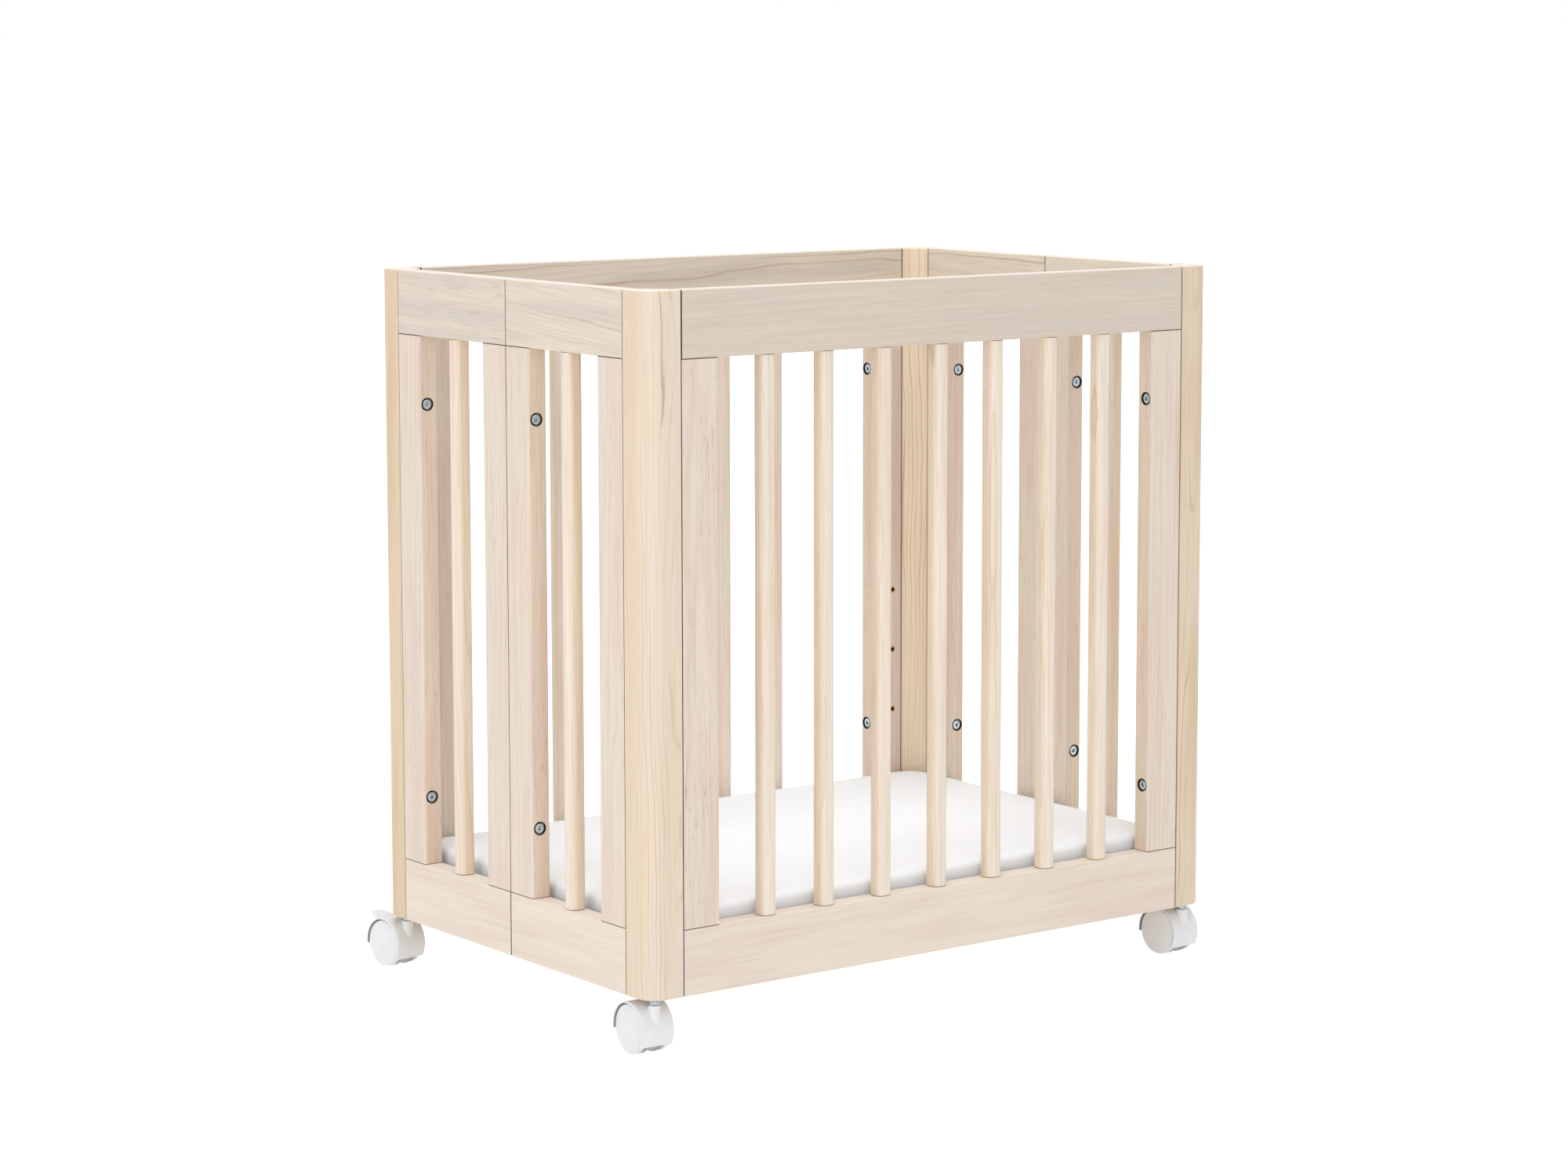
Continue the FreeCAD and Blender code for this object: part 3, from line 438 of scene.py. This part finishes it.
PLY_PAIR = 0.0029          # one dark and one light ply
ply, tree, surface = plain_material("birch plywood", linear(222, 196, 158), 0.6)
face = node_at(tree, "ShaderNodeGroup", node_tree=grain, Early_Wood=linear(226, 202, 165),
               Late_Wood=linear(196, 164, 122), Blush=linear(216, 188, 148), Ring_Width=0.03)
here = object_place(tree)
tree.links.new(here, face.inputs["Vector"])
plies = math_node(tree, "FRACT", math_node(tree, "MULTIPLY", axes_of(tree, here)[2], 1 / PLY_PAIR))
dark_ply = smooth_between(tree, plies, 0.45, 0.55)
upward = axes_of(tree, node_at(tree, "ShaderNodeNewGeometry").outputs["True Normal"])[2]
edge = math_node(tree, "LESS_THAN", math_node(tree, "ABSOLUTE", upward), 0.5)
colour = blend_colour(tree, math_node(tree, "MULTIPLY", dark_ply, edge), face.outputs["Color"],
                      linear(176, 142, 100))
tree.links.new(colour, surface.inputs["Base Color"])
dress(ply, "mattress_board")


# ---------------------------------------------------------------- mattress
# A firm foam core in a smooth white wipe-clean cover pulled tight over rounded edges; its sides
# are painted a little greyer and bluer than its top, as painted shade and a cool tint against the
# warm light the wood throws on them. The cover is inflated a little in a cloth simulation and lies
# flat on the board.
def keep_modifiers(piece):
    """Turns the piece's modifiers into its mesh."""
    evaluated = piece.evaluated_get(bpy.context.evaluated_depsgraph_get())
    mesh = bpy.data.meshes.new_from_object(evaluated)
    piece.modifiers.clear()
    piece.data = mesh


def mesh_points(mesh):
    """The mesh's vertices as an array of rows."""
    flat = np.empty(len(mesh.vertices) * 3)
    mesh.vertices.foreach_get("co", flat)
    return flat.reshape(-1, 3)


PUFF_CAP = 0.0022          # how far the cover may stand out
BOARD_CLEAR = 0.0002       # the cover stays this far above the board
mattress_low, mattress_high = [np.array(p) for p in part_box("mattress")]
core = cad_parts["mattress"].data.copy()
mattress = bpy.data.objects.new("mattress_cover", core)
scene.collection.objects.link(mattress)
middle = (mattress_low + mattress_high) / 2
half = (mattress_high - mattress_low) / 2
shrunk = middle + (mesh_points(core) - middle) * (1 - PUFF_CAP / half)
core.vertices.foreach_set("co", shrunk.ravel())
mattress.data.materials.clear()

merge = mattress.modifiers.new("merge", "WELD")
merge.merge_threshold = 1e-5
remesh = mattress.modifiers.new("remesh", "REMESH")
remesh.mode, remesh.voxel_size = "VOXEL", 0.006
keep_modifiers(mattress)
rest = mesh_points(mattress.data)
cloth = mattress.modifiers.new("cover", "CLOTH")
cloth.settings.use_pressure = True
cloth.settings.uniform_pressure_force = 4
cloth.settings.effector_weights.gravity = 0
cloth.settings.quality = 4
for step in range(1, 21):
    scene.frame_set(step)
swollen = mattress.evaluated_get(bpy.context.evaluated_depsgraph_get()).to_mesh()
move = mesh_points(swollen) - rest
mattress.modifiers.clear()
scene.frame_set(1)
length = np.linalg.norm(move, axis=1, keepdims=True)
rest = rest + move * np.minimum(1, PUFF_CAP / np.maximum(length, 1e-9))
rest[:, 2] = np.maximum(rest[:, 2], mattress_low[2] + BOARD_CLEAR)
mattress.data.vertices.foreach_set("co", rest.ravel())
smooth = mattress.modifiers.new("smooth", "CORRECTIVE_SMOOTH")
smooth.use_only_smooth, smooth.iterations = True, 2
keep_modifiers(mattress)
soften = mattress.modifiers.new("soften", "SUBSURF")
soften.levels = soften.render_levels = 1
mattress.data.polygons.foreach_set("use_smooth", np.ones(len(mattress.data.polygons), dtype=bool))

cover, tree, surface = plain_material("white cover", linear(246, 246, 247), 0.62)
surface.inputs["Sheen Weight"].default_value = 0.1
here = object_place(tree)
weave = math_node(tree, "ADD", streaks(tree, here, (1800, 500, 900), 1),
                  streaks(tree, here, (500, 1800, 900), 1))
top = smooth_between(tree, axes_of(tree, here)[2], mattress_high[2] - 0.013, mattress_high[2] - 0.009)
slack = smooth_between(tree, streaks(tree, here, (9, 9, 9), 2), 0.3, 0.7)
panel = blend_colour(tree, slack, linear(238, 242, 246), linear(240, 243, 247))
# Painted shade: the border below the top is a little greyer and bluer than the top panel.
border = blend_colour(tree, slack, linear(232, 236, 241), linear(235, 239, 244))
tree.links.new(blend_colour(tree, top, border, panel), surface.inputs["Base Color"])
bump = node_at(tree, "ShaderNodeBump", Strength=0.1, Distance=0.0003)
tree.links.new(weave, bump.inputs["Height"])
tree.links.new(bump.outputs[0], surface.inputs["Normal"])
mattress.data.materials.append(cover)
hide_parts("mattress")
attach(mattress, "mattress")


# ---------------------------------------------------------------- bolts, inserts and brackets
# Zinc-plated steel button-head bolts and screws, brass inserts pressed into the wood, and bent
# zinc-plated shelf brackets.
def skin_group(name, clouds, detail, full, gloss, tooth):
    """A shader node group: two tints in soft clouds, a roughness that follows them, and a fine tooth.

    clouds and tooth are per metre; the second tint is full where the clouds pass full.
    """
    group, inside, outside = shader_group(
        name,
        [("Vector", "Vector", None), ("Tint", "Color", (0.6, 0.6, 0.6, 1)),
         ("Cloud", "Color", (0.5, 0.5, 0.5, 1)), ("Roughness", "Float", 0.3)],
        [("Color", "Color"), ("Roughness", "Float"), ("Height", "Float")])
    cloud = streaks(group, inside.outputs["Vector"], (clouds, clouds, clouds), detail)
    colour = blend_colour(group, smooth_between(group, cloud, 0.35, full), inside.outputs["Tint"],
                          inside.outputs["Cloud"])
    rough = math_node(group, "ADD", inside.outputs["Roughness"], math_node(group, "MULTIPLY", cloud, gloss))
    fine = streaks(group, inside.outputs["Vector"], (tooth, tooth, tooth), 2)
    for value, label in ((colour, "Color"), (rough, "Roughness"), (fine, "Height")):
        group.links.new(value, outside.inputs[label])
    return group


def skinned(name, group, tint, cloud, rough, metal, strength, distance, ease=0.0):
    """A material under one of these skins; ease is how much its roughness starts below rough."""
    material, tree, _ = plain_material(name, linear(*tint), rough, metal)
    skin = node_at(tree, "ShaderNodeGroup", node_tree=group, Tint=linear(*tint), Cloud=linear(*cloud),
                   Roughness=rough - ease)
    tree.links.new(object_place(tree), skin.inputs["Vector"])
    show_skin(tree, skin.outputs["Color"], skin, strength, distance)
    return material


plating = skin_group("plating", clouds=160, detail=3, full=0.7, gloss=0.14, tooth=2600)


def plated(name, tint, cloud, rough):
    """Plated metal with a clouded sheen and a fine tooth."""
    return skinned(name, plating, tint, cloud, rough, 1.0, 0.1, 0.0001)


# The bolts lie level: the faces that look along them keep the bright metal, and their rims and
# sockets are painted dark, as painted shade and painted reflection of the dark hole around them.
zinc = plated("bright zinc", (190, 200, 205), (150, 164, 170), 0.3)
tree = zinc.node_tree
surface = tree.nodes["Principled BSDF"]
facing = axes_of(tree, node_at(tree, "ShaderNodeNewGeometry").outputs["True Normal"])
flat = math_node(tree, "MAXIMUM", math_node(tree, "ABSOLUTE", facing[0]),
                 math_node(tree, "ABSOLUTE", facing[1]))
metal = surface.inputs["Base Color"].links[0].from_socket
# Painted shade: faces that don't look straight along x or y are dark grey.
tree.links.new(blend_colour(tree, smooth_between(tree, flat, 0.90, 0.98), linear(58, 60, 60), metal),
               surface.inputs["Base Color"])
dress(zinc, "panel_bolts", "base_screws")
dress(plated("bracket zinc", (192, 194, 196), (168, 172, 176), 0.36), "base_brackets", "caster_sockets")
dress(plated("insert brass", (226, 212, 176), (192, 172, 128), 0.3), "panel_bolt_inserts", "base_inserts")


# ---------------------------------------------------------------- casters
# Moulded white nylon hoods, wheels and brake levers with a fine matt texture, on bright steel
# stems and axles. The inner half of every tread and the inside of the hoods are painted greyer, as
# painted shade under the hoods.
moulded = skin_group("moulded nylon", clouds=40, detail=2, full=0.65, gloss=0.1, tooth=1500)


def nylon(name, tint, rough):
    """Moulded nylon: near white, faintly mottled, with a fine orange-peel skin."""
    return skinned(name, moulded, tint, [v - 4 for v in tint], rough, 0.0, 0.08, 0.0002, ease=0.05)


def vector_node(tree, operation, a, b=None, output="Vector"):
    """A Vector Math node on one or two sockets; returns one of its outputs."""
    node = node_at(tree, "ShaderNodeVectorMath", operation=operation)
    tree.links.new(a, node.inputs[0])
    if b is not None:
        tree.links.new(b, node.inputs[1])
    return node.outputs[output]


# Tread is the outermost 0.8 mm of the wheels within Reach of the caster's middle plane. Chamber is
# all that lies less than 1.3 mm outside the wheels' radius. Both mark where shade is painted.
drum, drum_in, drum_out = shader_group(
    "painted_rim",
    [("Vector", "Vector", None), ("Centre", "Vector", None), ("Axle", "Vector", None),
     ("Radius", "Float", 0.03), ("Reach", "Float", 0.01)],
    [("Tread", "Float"), ("Chamber", "Float")])
spoke = vector_node(drum, "SUBTRACT", drum_in.outputs["Vector"], drum_in.outputs["Centre"])
aside = vector_node(drum, "DOT_PRODUCT", spoke, drum_in.outputs["Axle"], output="Value")
aside = math_node(drum, "SUBTRACT", math_node(drum, "ABSOLUTE", aside), drum_in.outputs["Reach"])
inner = math_node(drum, "SUBTRACT", 1.0, smooth_between(drum, aside, -0.0004, 0.0004))
spoke = vector_node(drum, "CROSS_PRODUCT", spoke, drum_in.outputs["Axle"])
past = math_node(drum, "SUBTRACT", vector_node(drum, "LENGTH", spoke, output="Value"),
                 drum_in.outputs["Radius"])
tread = math_node(drum, "MULTIPLY", smooth_between(drum, past, -0.0016, -0.0008), inner)
chamber = math_node(drum, "SUBTRACT", 1.0, smooth_between(drum, past, 0.0013, 0.0015))
drum.links.new(tread, drum_out.inputs["Tread"])
drum.links.new(chamber, drum_out.inputs["Chamber"])

TREAD_REACH = 0.0155       # middle plane of a caster to the middle of a wheel's tread


def round_axle(material, corner, part, shade):
    """Paints shade on the treads or on the inside of the hood of one caster, found by their reach from its
    axle.
    """
    tree = material.node_tree
    surface = tree.nodes["Principled BSDF"]
    lh, rh = [np.mean(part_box("caster_wheel_" + corner + side), axis=0) for side in ("_lh", "_rh")]
    low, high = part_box("caster_wheel_" + corner + "_lh")
    zone = node_at(tree, "ShaderNodeGroup", node_tree=drum, Centre=(lh + rh) / 2,
                   Axle=(rh - lh) / np.linalg.norm(rh - lh), Radius=(high[2] - low[2]) / 2, Reach=TREAD_REACH)
    tree.links.new(object_place(tree), zone.inputs["Vector"])
    skin = surface.inputs["Base Color"].links[0].from_socket
    tree.links.new(blend_colour(tree, zone.outputs[part], skin, linear(*shade)), surface.inputs["Base Color"])
    return material


steel = plated("bright steel", (172, 174, 177), (140, 143, 147), 0.16)
dress(steel, "caster_stems")
dress(nylon("lever nylon", (233, 234, 235), 0.42), "brake_lever_back_left", "brake_lever_back_right")
for corner in ("front_left", "front_right", "back_left", "back_right"):
    dress(steel, "caster_axle_" + corner)
    wheel = nylon("wheel nylon " + corner, (232, 232, 233), 0.38)
    # Painted shade: the treads' inner halves and the hoods' insides are grey.
    dress(round_axle(wheel, corner, "Tread", (150, 151, 153)),
          "caster_wheel_" + corner + "_lh", "caster_wheel_" + corner + "_rh")
    hood = nylon("hood nylon " + corner, (233, 234, 235), 0.42)
    dress(round_axle(hood, corner, "Chamber", (166, 168, 171)), "caster_hood_" + corner)
